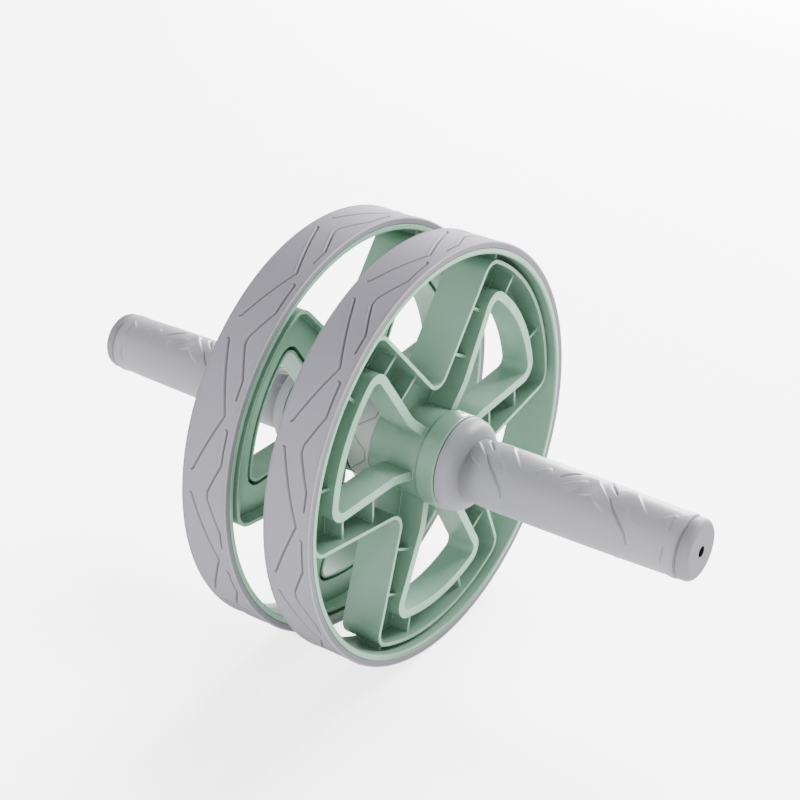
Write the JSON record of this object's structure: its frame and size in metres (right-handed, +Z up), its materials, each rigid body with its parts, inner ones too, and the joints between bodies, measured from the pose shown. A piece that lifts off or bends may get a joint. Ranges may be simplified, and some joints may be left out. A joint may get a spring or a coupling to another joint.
{
  "type": "ab wheel roller",
  "caption": "Ab wheel roller: rubber-tyred wheels with open, ribbed, lobed cores spin freely on a steel axle between domed, tapered grips, for rollout exercise on the floor.",
  "frame": {"origin": "middle of the axle, half-way between the wheels", "axes": "+Y along the axle towards the left handle, +Z up, +X forwards in the rolling direction"},
  "size_m": [0.19, 0.309, 0.19],
  "materials": {
    "mint_plastic": "satin moulded plastic",
    "grey_plastic": "matte moulded plastic",
    "tyre_rubber": "matte soft rubber with engraved lines",
    "grip_rubber": "matte soft rubber with faceted grooves",
    "bush_nylon": "natural nylon",
    "steel": "bright zinc-plated steel"
  },
  "bodies": {
    "handle_bar": {"axle_tube": "steel", "centre_spacer": "grey_plastic", "right_thrust_washer": "bush_nylon", "right_retaining_ring": "steel", "right_handle_core": "mint_plastic", "right_grip": "grip_rubber", "right_axle_plug": "steel", "right_end_washer": "steel", "right_end_screw": "steel", "right_end_cap": "grey_plastic", "left_thrust_washer": "bush_nylon", "left_retaining_ring": "steel", "left_handle_core": "mint_plastic", "left_grip": "grip_rubber", "left_axle_plug": "steel", "left_end_washer": "steel", "left_end_screw": "steel", "left_end_cap": "grey_plastic"},
    "right_wheel": {"right_wheel_core": "mint_plastic", "right_tyre": "tyre_rubber", "right_hub_cover": "mint_plastic", "right_inner_bush": "bush_nylon", "right_outer_bush": "bush_nylon"},
    "left_wheel": {"left_wheel_core": "mint_plastic", "left_tyre": "tyre_rubber", "left_hub_cover": "mint_plastic", "left_inner_bush": "bush_nylon", "left_outer_bush": "bush_nylon"}
  },
  "joints": [
    {"name": "right_wheel_spin", "type": "hinge", "parent": "handle_bar", "child": "right_wheel", "pos_m": [0, -0.0213, 0], "axis": [0, 1, 0], "continuous": true},
    {"name": "left_wheel_spin", "type": "hinge", "parent": "handle_bar", "child": "left_wheel", "pos_m": [0, 0.0213, 0], "axis": [0, 1, 0], "continuous": true}
  ]
}
